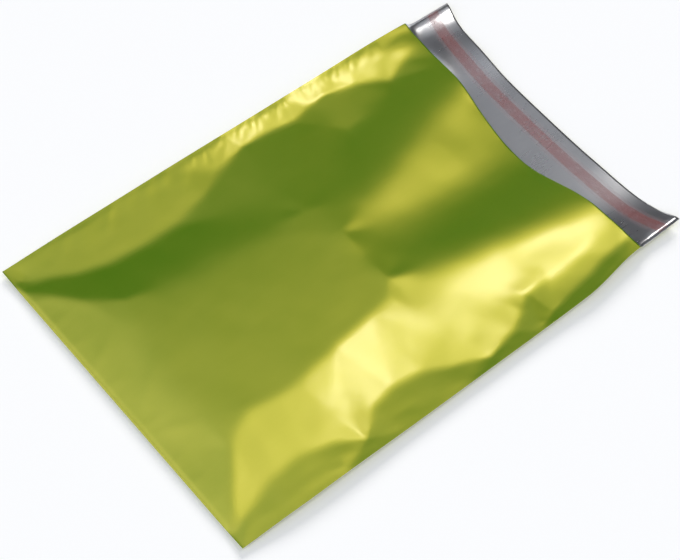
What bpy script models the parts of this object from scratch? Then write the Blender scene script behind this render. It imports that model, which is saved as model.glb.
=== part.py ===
"""Metallised plastic gift bag with a peel and seal lip, lying on its back panel.

The bag is one film: the back panel runs on into the lip, and the front panel is folded
over at the closed end and welded to the back along both sides. Air holds the front panel
up in a shallow pillow with folds. A band of adhesive under a release liner lies on the lip.

Metres, +Z up, +Y from the closed end to the lip. The origin is under the middle of the bag,
on the surface that it lies on.

A place on the film is given by two shares. Across runs from -1 at the left weld to 1 at the
right weld. Along runs from 0 at the closed end to 1 at the mouth edge of the front panel,
and from 1 to 2 over the lip.
"""

import math

import bmesh
import bpy
from mathutils.geometry import delaunay_2d_cdt

# Plan of the bag as it lies
BAG_WIDTH = 0.2304
PANEL_LENGTH = 0.3170
LIP_DEPTH = 0.0345
LEFT_MOUTH_PULL = 0.0041
RIGHT_MOUTH_PULL = 0.0054
RIGHT_END_PULL = 0.0012
LEFT_LIP_PULL = 0.0026
RIGHT_LIP_PULL = 0.0006
MOUTH_BOW = 0.0124
LIP_BOW = 0.0105

# Film and heights above the table
FILM_THICKNESS = 0.0004
POCKET_GAP = 0.0004
PUFF_HEIGHT = 0.0148
WELD_LIFT = 0.0051
LIP_CORNER_LIFT = 0.0064

# Adhesive band and release liner on the lip
LINER_WIDTH = 0.0125
LINER_INSET = 0.0070
LINER_THICKNESS = 0.0003
ADHESIVE_WIDTH = 0.0080
ADHESIVE_THICKNESS = 0.0003
STRIP_CLEARANCE = 0.0003
STRIP_END_MARGIN = 0.0020

# Shares that shape the outline
MOUTH_SHARE = 1.0
LIP_EDGE_SHARE = 2.0
FLAT_BACK_SHARE = 0.72
RIGHT_END_SHARE = 0.15
RIGHT_MOUTH_SHARE = 0.16
BOW_CENTRE_SHARE = 0.12
LEFT_BOW_SPREAD_SHARE = 0.65
RIGHT_BOW_SPREAD_SHARE = 0.50
LIP_BOW_POWER = 2.8

# Lift of each weld along the bag, in percent along and percent of the greatest lift
LEFT_WELD_STATIONS = [
    (0, 0), (12, 27), (24, 40), (41, 61), (55, 88), (68, 100), (80, 100), (90, 92), (100, 65),
]
RIGHT_WELD_STATIONS = [
    (0, 0), (12, 27), (31, 42), (43, 50), (61, 69), (74, 88), (86, 96), (95, 85), (100, 65),
]

# Fold points of the front panel: percent across, percent along, percent of the puff height
MOUTH_EDGE = [
    (-91, 100, 43), (-84, 100, 35), (-72, 100, 33), (-54, 100, 63), (-42, 100, 77), (-30, 100, 67),
    (-13, 100, 43), (1, 100, 28), (12, 100, 23), (21, 100, 25), (36, 100, 55), (49, 100, 80),
    (58, 100, 87), (69, 100, 70), (82, 100, 40), (92, 100, 32),
]
LEFT_FOOT = [
    (-86, 2, 13), (-77, 9, 15), (-71, 15, 17), (-68, 25, 17), (-68, 33, 19), (-74, 41, 23),
    (-82, 48, 21), (-88, 54, 21), (-87, 60, 21), (-84, 66, 26), (-89, 71, 22), (-91, 75, 21),
    (-87, 82, 24), (-81, 86, 27), (-74, 89, 32), (-80, 94, 32),
]
LEFT_SHOULDER = [
    (-31, 54, 92), (-33, 42, 93), (-37, 30, 92), (-41, 20, 88), (-44, 14, 81), (-58, 8, 53),
    (-84, 1, 12),
]
LEFT_FACETS = [(-54, 41, 46), (-61, 74, 47), (-67, 87, 33)]
LEFT_RIDGE = [(-6, 57, 98), (-18, 68, 96), (-29, 81, 92), (-37, 90, 85)]
VALLEY_LEFT = [(-3, 69, 81), (-2, 82, 62), (0, 93, 43)]
VALLEY_RIGHT = [(26, 69, 79), (22, 82, 59), (20, 93, 40)]
RIGHT_RIDGE = [(30, 57, 98), (37, 68, 98), (43, 81, 97), (49, 90, 95)]
RIGHT_SLOPE = [(80, 90, 32), (78, 82, 29), (78, 75, 29), (61, 65, 67), (65, 58, 63), (73, 30, 49)]
RIGHT_FOOT = [
    (89, 87, 28), (95, 78, 33), (89, 74, 28), (90, 69, 27), (94, 61, 33), (87, 54, 25), (79, 48, 22),
    (76, 42, 21), (80, 36, 22), (90, 31, 27), (82, 26, 21), (78, 20, 19), (80, 12, 17), (86, 6, 13),
    (91, 1, 10),
]
RIGHT_SHOULDER = [
    (39, 54, 96), (41, 49, 95), (44, 39, 94), (49, 31, 91), (53, 28, 84), (49, 23, 90), (45, 17, 88),
    (49, 13, 80), (55, 10, 71), (69, 7, 47),
]
END_SHOULDER = [(-24, 11, 85), (2, 9, 84), (28, 9, 81)]
PILLOW_TOP = [(3, 20, 96), (3, 36, 100), (12, 53, 99)]
CLOSED_END = [-86, -70, -36, -2, 32, 67, 91]
LIP_COLUMNS = [-97, -94, -90, -86, -82, -77, -72, -36, 0, 36, 72, 77, 82, 86, 90, 94, 97]
LIP_ROWS = 3

# Mesh values
PERCENT_FACTOR = 0.01
STRIP_COLUMNS = 36
SMOOTHING_FACTOR = 0.4
MERGE_SHARE = 0.00001
PLANAR_ANGLE = math.radians(0.05)

# Colours, roughness and metallic value of the materials
GREEN_FILM = ((0.36, 0.48, 0.05, 1.0), 0.34, 1.0)
SILVER_FILM = ((0.55, 0.55, 0.56, 1.0), 0.30, 1.0)
LINER_PINK = ((0.62, 0.30, 0.30, 1.0), 0.35, 0.0)
ADHESIVE_CLEAR = ((0.66, 0.52, 0.50, 1.0), 0.25, 0.0)


def clear_scene():
    """Remove every object of the scene."""
    for item in list(bpy.data.objects):
        bpy.data.objects.remove(item, do_unlink=True)


def make_collection(name):
    """Return a new collection linked to the scene."""
    collection = bpy.data.collections.new(name)
    bpy.context.scene.collection.children.link(collection)
    return collection


def make_material(name, finish):
    """Return a Principled material from a colour, a roughness and a metallic value."""
    colour, roughness, metallic = finish
    material = bpy.data.materials.new(name)
    material.use_nodes = True
    shader = material.node_tree.nodes["Principled BSDF"]
    shader.inputs["Base Color"].default_value = colour
    shader.inputs["Roughness"].default_value = roughness
    shader.inputs["Metallic"].default_value = metallic
    return material


def smooth_step(value):
    """Rise from 0 to 1 with level ends, for a value that is first kept between 0 and 1."""
    t = min(max(value, 0.0), 1.0)
    return t * t * (3.0 - 2.0 * t)


def between(stations, percent):
    """Read a list of stations at a percentage, on straight lines between them."""
    for (start, low), (end, high) in zip(stations, stations[1:]):
        if percent <= end:
            return low + (high - low) * (percent - start) / (end - start)
    return stations[-1][1]


def half_width(across, along):
    """Distance from the middle line to the weld on the side that across is on."""
    panel = min(along, MOUTH_SHARE)
    lip = max(along - MOUTH_SHARE, 0.0)
    if across < 0.0:
        pull = LEFT_MOUTH_PULL * math.sin(math.pi * panel / 2.0) + LEFT_LIP_PULL * lip
    else:
        end = max(1.0 - panel / RIGHT_END_SHARE, 0.0)
        mouth = smooth_step((panel - 1.0 + RIGHT_MOUTH_SHARE) / RIGHT_MOUTH_SHARE)
        pull = RIGHT_END_PULL * end + RIGHT_MOUTH_PULL * mouth + RIGHT_LIP_PULL * lip
    return BAG_WIDTH / 2.0 - pull


def closed_end_place():
    """Place of the closed end along Y."""
    return -(PANEL_LENGTH + LIP_DEPTH) / 2.0


def mouth_place(across):
    """Place of the mouth edge along Y: the corners, less the bow towards the closed end."""
    spread = LEFT_BOW_SPREAD_SHARE if across < BOW_CENTRE_SHARE else RIGHT_BOW_SPREAD_SHARE
    bow = MOUTH_BOW * math.exp(-(((across - BOW_CENTRE_SHARE) / spread) ** 2))
    return closed_end_place() + PANEL_LENGTH - bow


def lip_place(across):
    """Place of the outer edge of the lip along Y."""
    bow = LIP_BOW * (1.0 - abs(across) ** LIP_BOW_POWER)
    return closed_end_place() + PANEL_LENGTH + LIP_DEPTH - bow


def plan_point(across, along):
    """X and Y of a place on the film."""
    x = across * half_width(across, along)
    if along <= 1.0:
        y = closed_end_place() + along * (mouth_place(across) - closed_end_place())
    else:
        y = mouth_place(across) + (along - 1.0) * (lip_place(across) - mouth_place(across))
    return x, y


def back_height(across, along):
    """Height of the outside of the back film: flat in the middle, curled up at the welds."""
    curl = max(abs(across) - FLAT_BACK_SHARE, 0.0) / (1.0 - FLAT_BACK_SHARE)
    stations = LEFT_WELD_STATIONS if across < 0.0 else RIGHT_WELD_STATIONS
    lift = WELD_LIFT * PERCENT_FACTOR * between(stations, min(along, 1.0) / PERCENT_FACTOR)
    if along > 1.0:
        lift += (LIP_CORNER_LIFT - lift) * (along - 1.0)
    return lift * curl ** 2


def side_depth():
    """Least height of the outside of the front film over the outside of the back film."""
    return 2.0 * FILM_THICKNESS + POCKET_GAP


def front_points():
    """Every point that shapes the front panel, as across, along and height."""
    points = []
    groups = [
        MOUTH_EDGE, LEFT_FOOT, LEFT_SHOULDER, LEFT_FACETS, LEFT_RIDGE, VALLEY_LEFT, VALLEY_RIGHT,
        RIGHT_RIDGE, RIGHT_SLOPE, RIGHT_FOOT, RIGHT_SHOULDER, END_SHOULDER, PILLOW_TOP,
    ]
    for group in groups:
        for across, along, rise in group:
            height = rise * PERCENT_FACTOR * PUFF_HEIGHT
            points.append((across * PERCENT_FACTOR, along * PERCENT_FACTOR, height))
    for side, stations in ((-1.0, LEFT_WELD_STATIONS), (1.0, RIGHT_WELD_STATIONS)):
        for along, _lift in stations:
            height = back_height(side, along * PERCENT_FACTOR) + side_depth()
            points.append((side, along * PERCENT_FACTOR, height))
    for across in CLOSED_END:
        points.append((across * PERCENT_FACTOR, 0.0, side_depth()))
    return points


def lip_points():
    """Points of the lip past the mouth edge, which only the back film has."""
    points = []
    columns = [-100] + LIP_COLUMNS + [100]
    for row in range(LIP_ROWS):
        along = 1.0 + (row + 1) / LIP_ROWS
        for across in columns:
            points.append((across * PERCENT_FACTOR, along, 0.0))
    return points


def mouth_links(points):
    """Pairs of neighbours along the mouth edge, which stay edges of the mesh."""
    edge = [index for index, point in enumerate(points) if point[1] == 1.0]
    edge.sort(key=lambda index: points[index][0])
    return list(zip(edge, edge[1:]))


def film_plan():
    """Return a mesh of the spread film: across, along and the front panel's height."""
    points = front_points() + lip_points()
    flat = [(point[0], point[1]) for point in points]
    result = delaunay_2d_cdt(flat, mouth_links(points), [], 0, MERGE_SHARE)
    places, _edges, faces, sources = result[0], result[1], result[2], result[3]
    mesh = bmesh.new()
    for place, source in zip(places, sources):
        mesh.verts.new((place[0], place[1], points[source[0]][2]))
    mesh.verts.ensure_lookup_table()
    for face in faces:
        mesh.faces.new([mesh.verts[index] for index in face])
    bmesh.ops.subdivide_edges(mesh, edges=mesh.edges[:], cuts=1, use_grid_fill=True)
    inner = [v for v in mesh.verts if not v.is_boundary and v.co.y < 1.0 - MERGE_SHARE]
    bmesh.ops.smooth_vert(mesh, verts=inner, factor=SMOOTHING_FACTOR, use_axis_z=True)
    return mesh


def split_panels(mesh):
    """Lift a front panel off the part of the plan before the mouth and open its mouth.

    The plan stays as the back film. The raised copy is joined to it along the welds and
    the closed end.
    """
    limit = 1.0 + MERGE_SHARE
    panel = [face for face in mesh.faces if all(v.co.y < limit for v in face.verts)]
    raised = bmesh.ops.extrude_face_region(mesh, geom=panel, use_keep_orig=True)
    front = [item for item in raised["geom"] if isinstance(item, bmesh.types.BMVert)]
    front_set = set(front)
    walls = []
    for face in mesh.faces:
        count = sum(v in front_set for v in face.verts)
        at_mouth = all(abs(v.co.y - 1.0) < MERGE_SHARE for v in face.verts)
        if 0 < count < len(face.verts) and at_mouth:
            walls.append(face)
    bmesh.ops.delete(mesh, geom=walls, context="FACES")
    return front_set


def shape_film(mesh, front):
    """Move every vertex from its shares to its place in metres."""
    for vertex in mesh.verts:
        across, along, height = vertex.co
        x, y = plan_point(across, along)
        lowest = back_height(across, along)
        if vertex in front:
            vertex.co = (x, y, max(height, lowest + side_depth()))
        else:
            vertex.co = (x, y, lowest)


def flatten_back(mesh):
    """Merge the level faces of the back film into one flat face."""
    level = [f for f in mesh.faces if all(v.co.z == 0.0 for v in f.verts)]
    edges = list({edge for face in level for edge in face.edges})
    verts = list({vert for face in level for vert in face.verts})
    bmesh.ops.dissolve_limit(mesh, angle_limit=PLANAR_ANGLE, verts=verts, edges=edges)


def add_object(name, mesh, collection, materials):
    """Turn an edited mesh into a named object with its materials."""
    data = bpy.data.meshes.new(name)
    mesh.to_mesh(data)
    mesh.free()
    for material in materials:
        data.materials.append(material)
    data.shade_smooth()
    item = bpy.data.objects.new(name, data)
    collection.objects.link(item)
    return item


def add_wall(item, thickness, offset):
    """Give an open surface its wall."""
    wall = item.modifiers.new("Wall", "SOLIDIFY")
    wall.thickness = thickness
    wall.offset = offset
    wall.use_even_offset = True
    wall.use_quality_normals = True
    return wall


def build_film(collection):
    """The folded film: front panel, back panel, lip and both welds."""
    mesh = film_plan()
    front = split_panels(mesh)
    shape_film(mesh, front)
    flatten_back(mesh)
    bmesh.ops.recalc_face_normals(mesh, faces=mesh.faces[:])
    materials = [make_material("green_film", GREEN_FILM), make_material("silver_film", SILVER_FILM)]
    item = add_object("bag_film", mesh, collection, materials)
    wall = add_wall(item, FILM_THICKNESS, -1.0)
    wall.material_offset = 1
    wall.material_offset_rim = 1
    return item


def build_strip(name, collection, finish, inset, width, lift, thickness):
    """A strip on the lip that follows its outer edge at an inset."""
    mesh = bmesh.new()
    bmesh.ops.create_grid(mesh, x_segments=STRIP_COLUMNS, y_segments=1, size=1.0)
    for vertex in mesh.verts:
        side = math.copysign(1.0, vertex.co.x)
        reach = 1.0 - STRIP_END_MARGIN / half_width(side, LIP_EDGE_SHARE)
        across = vertex.co.x * reach
        distance = inset + width * (1.0 - vertex.co.y) / 2.0
        depth = lip_place(across) - mouth_place(across)
        along = LIP_EDGE_SHARE - distance / depth
        x, y = plan_point(across, along)
        vertex.co = (x, y, back_height(across, along) + FILM_THICKNESS + lift)
    item = add_object(name, mesh, collection, [make_material(name, finish)])
    add_wall(item, thickness, 1.0)
    return item


def build_bag():
    """Build the three pieces of the bag in their own collection."""
    clear_scene()
    collection = make_collection("gift_bag")
    build_film(collection)
    adhesive_inset = LINER_INSET + (LINER_WIDTH - ADHESIVE_WIDTH) / 2.0
    build_strip(
        "adhesive_strip", collection, ADHESIVE_CLEAR,
        adhesive_inset, ADHESIVE_WIDTH, STRIP_CLEARANCE, ADHESIVE_THICKNESS,
    )
    liner_lift = 2.0 * STRIP_CLEARANCE + ADHESIVE_THICKNESS
    build_strip(
        "release_liner", collection, LINER_PINK,
        LINER_INSET, LINER_WIDTH, liner_lift, LINER_THICKNESS,
    )


build_bag()
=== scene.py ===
"""Looks of a metallised plastic gift bag with a peel and seal lip.

The bag lies on its back panel. One film makes the back panel, the lip and the front panel,
which is folded over at the closed end and welded to the back along both sides. The front
panel is puffed with air and creased. An adhesive band under a release liner lies on the lip.

A place on the film is given by two shares. Across runs from -1 at the left weld to 1 at the
right weld. Along runs from 0 at the closed end to 1 at the mouth edge of the front panel,
and from 1 to 2 over the lip. Lengths are in metres.
"""

import logging
import math
from dataclasses import dataclass, field
from enum import Enum
from typing import Callable, Mapping, Sequence, Union

import bmesh
import bpy
import numpy as np
from mathutils import Matrix, Vector
from mathutils.geometry import delaunay_2d_cdt


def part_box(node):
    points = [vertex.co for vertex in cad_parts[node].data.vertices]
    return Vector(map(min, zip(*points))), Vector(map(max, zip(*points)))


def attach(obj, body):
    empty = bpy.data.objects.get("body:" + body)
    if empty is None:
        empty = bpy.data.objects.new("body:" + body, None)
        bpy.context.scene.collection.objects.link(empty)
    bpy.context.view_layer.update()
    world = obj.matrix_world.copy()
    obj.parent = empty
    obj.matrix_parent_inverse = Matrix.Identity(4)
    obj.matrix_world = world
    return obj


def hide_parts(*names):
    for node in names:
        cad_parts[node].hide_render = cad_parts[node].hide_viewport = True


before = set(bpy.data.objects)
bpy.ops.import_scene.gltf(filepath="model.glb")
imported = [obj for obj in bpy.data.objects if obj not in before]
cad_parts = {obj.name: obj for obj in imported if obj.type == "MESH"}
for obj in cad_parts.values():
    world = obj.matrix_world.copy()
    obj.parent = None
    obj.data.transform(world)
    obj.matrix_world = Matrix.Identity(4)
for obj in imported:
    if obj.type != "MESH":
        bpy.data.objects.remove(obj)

LOG = logging.getLogger("gift_bag")
MM = 0.001
PERCENT = 0.01
TENTH = 0.1
MERGE = 1e-7

# Rounding of the stations' corners, in percent along: its spread and where it is cut off
STATION_SPREAD = 3.0
STATION_REACH = 12

# Angle between faces from which the film's edges show as sharp
SHARP_ANGLE = math.radians(50.0)

Array = np.ndarray
Face = tuple[int, ...]
Number = Union[int, float]
Pair = tuple[float, float]
Triple = tuple[float, float, float]
Points = Sequence[tuple[Number, Number, Number]]
Stations = Sequence[tuple[int, int]]


class Side(Enum):
    """The two welded sides of the bag, with the sign of X on each."""

    LEFT = -1
    RIGHT = 1


def smooth_step(value: Array) -> Array:
    """Rise from 0 to 1 with level ends: t squared times (3 less 2t), with t kept in 0 to 1."""
    t = np.clip(value, 0.0, 1.0)
    return t * t * (3.0 - 2.0 * t)


def rise(value: Array, zone: Pair) -> Array:
    """Rise smoothly from 0 to 1 over a zone, given as its start and its length."""
    return smooth_step((value - zone[0]) / zone[1])


def blurred(values: Array, spread: float) -> Array:
    """Blur a grid with a Gaussian, as a product in frequency space.

    The grid is first padded by turning it half round about its edges, so that slopes run on
    past them. The gain of a frequency f is exp(-2 (pi spread f) squared).

    Args:
        values: Grid of rows by columns.
        spread: Standard deviation, in samples.

    Returns:
        Grid of the same shape.
    """
    pad = int(min(4.0 * spread + 1.0, min(values.shape) - 1))
    wide = np.pad(values, pad, mode="reflect", reflect_type="odd")
    rows = np.fft.fftfreq(wide.shape[0])[:, None]
    columns = np.fft.rfftfreq(wide.shape[1])[None, :]
    gain = np.exp(-2.0 * (math.pi * spread * rows) ** 2)
    gain = gain * np.exp(-2.0 * (math.pi * spread * columns) ** 2)
    soft = np.fft.irfft2(np.fft.rfft2(wide) * gain, wide.shape)
    return soft[pad:-pad, pad:-pad]


def line_distance(x: Array, y: Array, corners: Array) -> Array:
    """Distance from each place to the nearest point of a line with corners.

    Each stretch's nearest point is its start plus a share of the stretch. The share is the dot
    product of the way there with the stretch over its square length, kept in 0 to 1.

    Args:
        x: Places along X.
        y: Places along Y.
        corners: Corners of the line, one row each.

    Returns:
        Distances of the same shape as x.
    """
    least = np.full_like(x, np.inf)
    for (from_x, from_y), (to_x, to_y) in zip(corners[:-1], corners[1:]):
        run, rise = to_x - from_x, to_y - from_y
        share = ((x - from_x) * run + (y - from_y) * rise) / (run * run + rise * rise)
        share = np.clip(share, 0.0, 1.0)
        least = np.minimum(least, np.hypot(x - from_x - share * run, y - from_y - share * rise))
    return least


def round_over(distance: Array, reach: float) -> Array:
    """Quarter round: 1 at distance 0, level with 0 at the reach.

    It is 1 less the root of 1 less the square of what is left of the reach, as a share of it.
    """
    near = np.clip(1.0 - distance / reach, 0.0, 1.0)
    return 1.0 - np.sqrt(1.0 - near ** 2)


def smooth_noise(shape: tuple[int, int], spread: float, seed: int) -> Array:
    """Blurred white noise with a standard deviation of 1.

    Args:
        shape: Rows and columns.
        spread: Size of the blobs, in samples.
        seed: Seed of the random draw.

    Returns:
        Grid of the given shape.
    """
    noise = np.random.default_rng(seed).standard_normal(shape)
    soft = blurred(noise, spread)
    return soft / soft.std()


def read_stations(stations: Stations, along: Array) -> Array:
    """Read a quantity given at stations along the film, with its corners rounded.

    Args:
        stations: Pairs of percent along and the quantity there.
        along: Shares along.

    Returns:
        The quantity at each share.
    """
    fine = np.arange(0.0, 201.0)
    values = np.interp(fine, *np.array(stations, float).T)
    steps = np.arange(-STATION_REACH, STATION_REACH + 1)
    weights = np.exp(-0.5 * (steps / STATION_SPREAD) ** 2)
    wide = np.pad(values, STATION_REACH, mode="reflect", reflect_type="odd")
    soft = np.convolve(wide, weights / weights.sum(), mode="valid")
    return np.interp(along / PERCENT, fine, soft)


@dataclass(frozen=True)
class Ripple:
    """A long low ridge or hollow in a film, given in millimetres.

    Attributes:
        x: Place of its middle.
        y: Place of its middle.
        turn: Direction that it runs in, in degrees from +X.
        length: Standard deviation along it.
        width: Standard deviation across it.
        height: Height of its crest, negative for a hollow.
    """

    x: float
    y: float
    turn: float
    length: float
    width: float
    height: float

    def lift(self, x: Array, y: Array) -> Array:
        """Height times a Gaussian of the distances along and across the ripple."""
        angle = math.radians(self.turn)
        right, up = x - self.x * MM, y - self.y * MM
        forward = (right * math.cos(angle) + up * math.sin(angle)) / (self.length * MM)
        aside = (up * math.cos(angle) - right * math.sin(angle)) / (self.width * MM)
        return self.height * MM * np.exp(-0.5 * (forward ** 2 + aside ** 2))


@dataclass(frozen=True)
class BagPlan:
    """Outline of the bag as it lies, and the height of its back film.

    Attributes:
        width: Width of the bag at its widest.
        length: Length from the closed end to the corners of the lip.
        left_lift: Lift of the left edge, in percent of weld_lift.
        left_start: Where its curl starts, in percent across.
        left_power: Power of its curl, in tenths.
        slope_middle: Slope of the lip in its middle, with 1 as the steepest.
        slope_left: What the slope gains towards the left end.
        slope_left_zone: Shares to the left over which it gains that.
        slope_right_zone: Shares across over which the slope ends on the right.
        slope_edge_zone: Shares across over which it starts at the left edge.
    """

    width: float
    length: float
    lip_depth: float = 34.5 * MM
    left_mouth_pull: float = 4.1 * MM
    right_mouth_pull: float = 5.4 * MM
    right_end_pull: float = 1.2 * MM
    left_lip_pull: float = 2.6 * MM
    right_lip_pull: float = 0.6 * MM
    mouth_bow: float = 12.4 * MM
    lip_bow: float = 10.5 * MM
    right_end_share: float = 0.15
    right_mouth_share: float = 0.16
    bow_centre: float = 0.12
    bow_spread_left: float = 0.65
    bow_spread_right: float = 0.50
    lip_bow_power: float = 2.8
    weld_lift: float = 6.2 * MM
    end_lift: float = 1.5 * MM
    end_share: float = 0.11
    left_lift: Stations = (
        (0, 40), (12, 76), (24, 94), (37, 114), (45, 121), (52, 124), (60, 126), (68, 130),
        (76, 129), (83, 133), (90, 137), (100, 108), (110, 66), (122, 56), (145, 66), (165, 78),
        (200, 92),
    )
    right_lift: Stations = (
        (0, 40), (12, 92), (24, 98), (38, 78), (54, 75), (61, 77), (72, 76), (80, 84), (88, 110),
        (95, 112), (100, 114), (115, 98), (130, 92), (200, 106),
    )
    left_start: Stations = (
        (0, 72), (94, 72), (105, 82), (122, 85), (145, 82), (165, 79), (200, 77),
    )
    right_start: Stations = ((0, 72), (94, 72), (112, 70), (200, 76))
    left_power: Stations = ((0, 20), (104, 20), (122, 16), (200, 17))
    right_power: Stations = ((0, 20), (94, 20), (112, 13), (150, 13), (200, 15))
    lip_slope_lift: float = 5.4 * MM
    slope_middle: float = 0.38
    slope_left: float = 0.62
    slope_left_zone: Pair = (0.35, 0.40)
    slope_right_zone: Pair = (0.40, 0.35)
    slope_edge_zone: Pair = (-0.92, 0.45)
    slope_power: float = 1.2

    @classmethod
    def from_frame(cls) -> "BagPlan":
        """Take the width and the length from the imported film."""
        low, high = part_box("bag_film")
        return cls(width=high[0] - low[0], length=high[1] - low[1])

    @property
    def panel_length(self) -> float:
        """Length of the front panel in plan, at the mouth's corners."""
        return self.length - self.lip_depth

    @property
    def closed_end(self) -> float:
        """Place of the closed end along Y."""
        return -self.length / 2.0

    def half_width(self, across: Array, along: Array) -> Array:
        """Distance from the middle line to the weld on the side that across is on.

        Half the width, less pulls that grow towards the mouth, the closed end or the lip.
        """
        panel = np.minimum(along, 1.0)
        lip = np.maximum(along - 1.0, 0.0)
        left = self.left_mouth_pull * np.sin(math.pi * panel / 2.0) + self.left_lip_pull * lip
        end = np.maximum(1.0 - panel / self.right_end_share, 0.0)
        mouth = smooth_step((panel - 1.0 + self.right_mouth_share) / self.right_mouth_share)
        right = self.right_end_pull * end + self.right_mouth_pull * mouth
        right = right + self.right_lip_pull * lip
        return self.width / 2.0 - np.where(across < 0.0, left, right)

    def inward(self, across: Array, along: Array) -> Array:
        """Distance of places from the nearer side edge."""
        return self.half_width(across, along) * (1.0 - np.abs(across))

    def mouth_place(self, across: Array) -> Array:
        """Y of the mouth edge: its corners, less a bell-shaped bow towards the closed end."""
        spread = np.where(across < self.bow_centre, self.bow_spread_left, self.bow_spread_right)
        bow = self.mouth_bow * np.exp(-(((across - self.bow_centre) / spread) ** 2))
        return self.closed_end + self.panel_length - bow

    def lip_place(self, across: Array) -> Array:
        """Y of the lip's outer edge: its corners, less a bow that is deepest in the middle."""
        bow = self.lip_bow * (1.0 - np.abs(across) ** self.lip_bow_power)
        return self.closed_end + self.length - bow

    def place(self, across: Array, along: Array) -> tuple[Array, Array]:
        """X and Y of places on the film.

        X is across times the half width. Y runs evenly from the closed end to the mouth edge
        and evenly again from there to the lip's edge.

        Args:
            across: Shares across.
            along: Shares along.

        Returns:
            X and Y in metres.
        """
        mouth = self.mouth_place(across)
        panel = self.closed_end + along * (mouth - self.closed_end)
        lip = mouth + (along - 1.0) * (self.lip_place(across) - mouth)
        return across * self.half_width(across, along), np.where(along <= 1.0, panel, lip)

    def spots(self, points: Points) -> Array:
        """X and Y of points given in percent across and percent along, one row each."""
        return np.column_stack(self.place(*(np.array(points, float)[:, :2].T * PERCENT)))

    @staticmethod
    def read_side(left: Stations, right: Stations, across: Array, along: Array) -> Array:
        """Read the stations of the side that across is on."""
        return np.where(across < 0.0, read_stations(left, along), read_stations(right, along))

    def back_height(self, across: Array, along: Array) -> Array:
        """Height of the back film over the table.

        The curl is 0 over the flat middle and then a power of the distance towards the side
        edge. The height is the curl times the edge's lift, plus the rest of 1 times the lift
        of the closed end, which falls off with the square of the distance, plus a slope that
        the lip rises in, steepest towards its left end and none at its right end.

        Args:
            across: Shares across.
            along: Shares along.

        Returns:
            Heights in metres.
        """
        start = PERCENT * self.read_side(self.left_start, self.right_start, across, along)
        power = TENTH * self.read_side(self.left_power, self.right_power, across, along)
        edge = self.read_side(self.left_lift, self.right_lift, across, along)
        past = np.maximum(np.abs(across) - start, 0.0)
        curl = (past / (1.0 - start)) ** power
        end = self.end_lift * np.maximum(1.0 - along / self.end_share, 0.0) ** 2
        slope = self.slope_middle + self.slope_left * rise(-across, self.slope_left_zone)
        slope = slope - self.slope_middle * rise(across, self.slope_right_zone)
        slope = slope * rise(across, self.slope_edge_zone)
        slope = slope * np.maximum(along - 1.0, 0.0) ** self.slope_power
        flat = end + self.lip_slope_lift * slope
        return curl * (self.weld_lift * PERCENT * edge) + (1.0 - curl) * flat


@dataclass(frozen=True)
class BackFilm:
    """Height of the outside of the back film and the lip.

    Attributes:
        plan: Outline of the bag.
        roll_width: Width of the lip's side edges that turn over.
        roll_drop: How far the very edge has turned down.
        fold_rise: Rise of the back film at the closed end, where it rounds into the fold.
        fold_reach: Distance over which it rounds.
        roll_zone: Where along the film the edges begin to turn over.
        ripple_zone: Where along the film the lip's ripples rise.
        ripples: Folds of the lip.
    """

    plan: BagPlan
    roll_width: float = 3.2 * MM
    roll_drop: float = 1.5 * MM
    fold_rise: float = 0.3 * MM
    fold_reach: float = 1.6 * MM
    roll_zone: Pair = (0.96, 0.12)
    ripple_zone: Pair = (0.9, 0.1)
    ripples: Sequence[Ripple] = (
        Ripple(-79, 143, 84, 6, 8, 1.5), Ripple(-89, 148, 84, 9, 8, 1.0),
        Ripple(-73, 141, 4, 8, 3, 0.8), Ripple(96, 170, 70, 9, 3.5, -0.7),
    )

    def height(self, across: Array, along: Array) -> Array:
        """Lie of the back film, plus the fold's rounding, the turned edges and the ripples.

        Args:
            across: Shares across.
            along: Shares along.

        Returns:
            Heights in metres.
        """
        x, y = self.plan.place(across, along)
        level = self.plan.back_height(across, along)
        level = level + self.fold_rise * round_over(y - self.plan.closed_end, self.fold_reach)
        edge = self.plan.inward(across, along)
        turned = np.clip(1.0 - edge / self.roll_width, 0.0, 1.0) ** 2
        level = level - self.roll_drop * turned * rise(along, self.roll_zone)
        for ripple in self.ripples:
            level = level + ripple.lift(x, y) * rise(along, self.ripple_zone)
        return level


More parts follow.
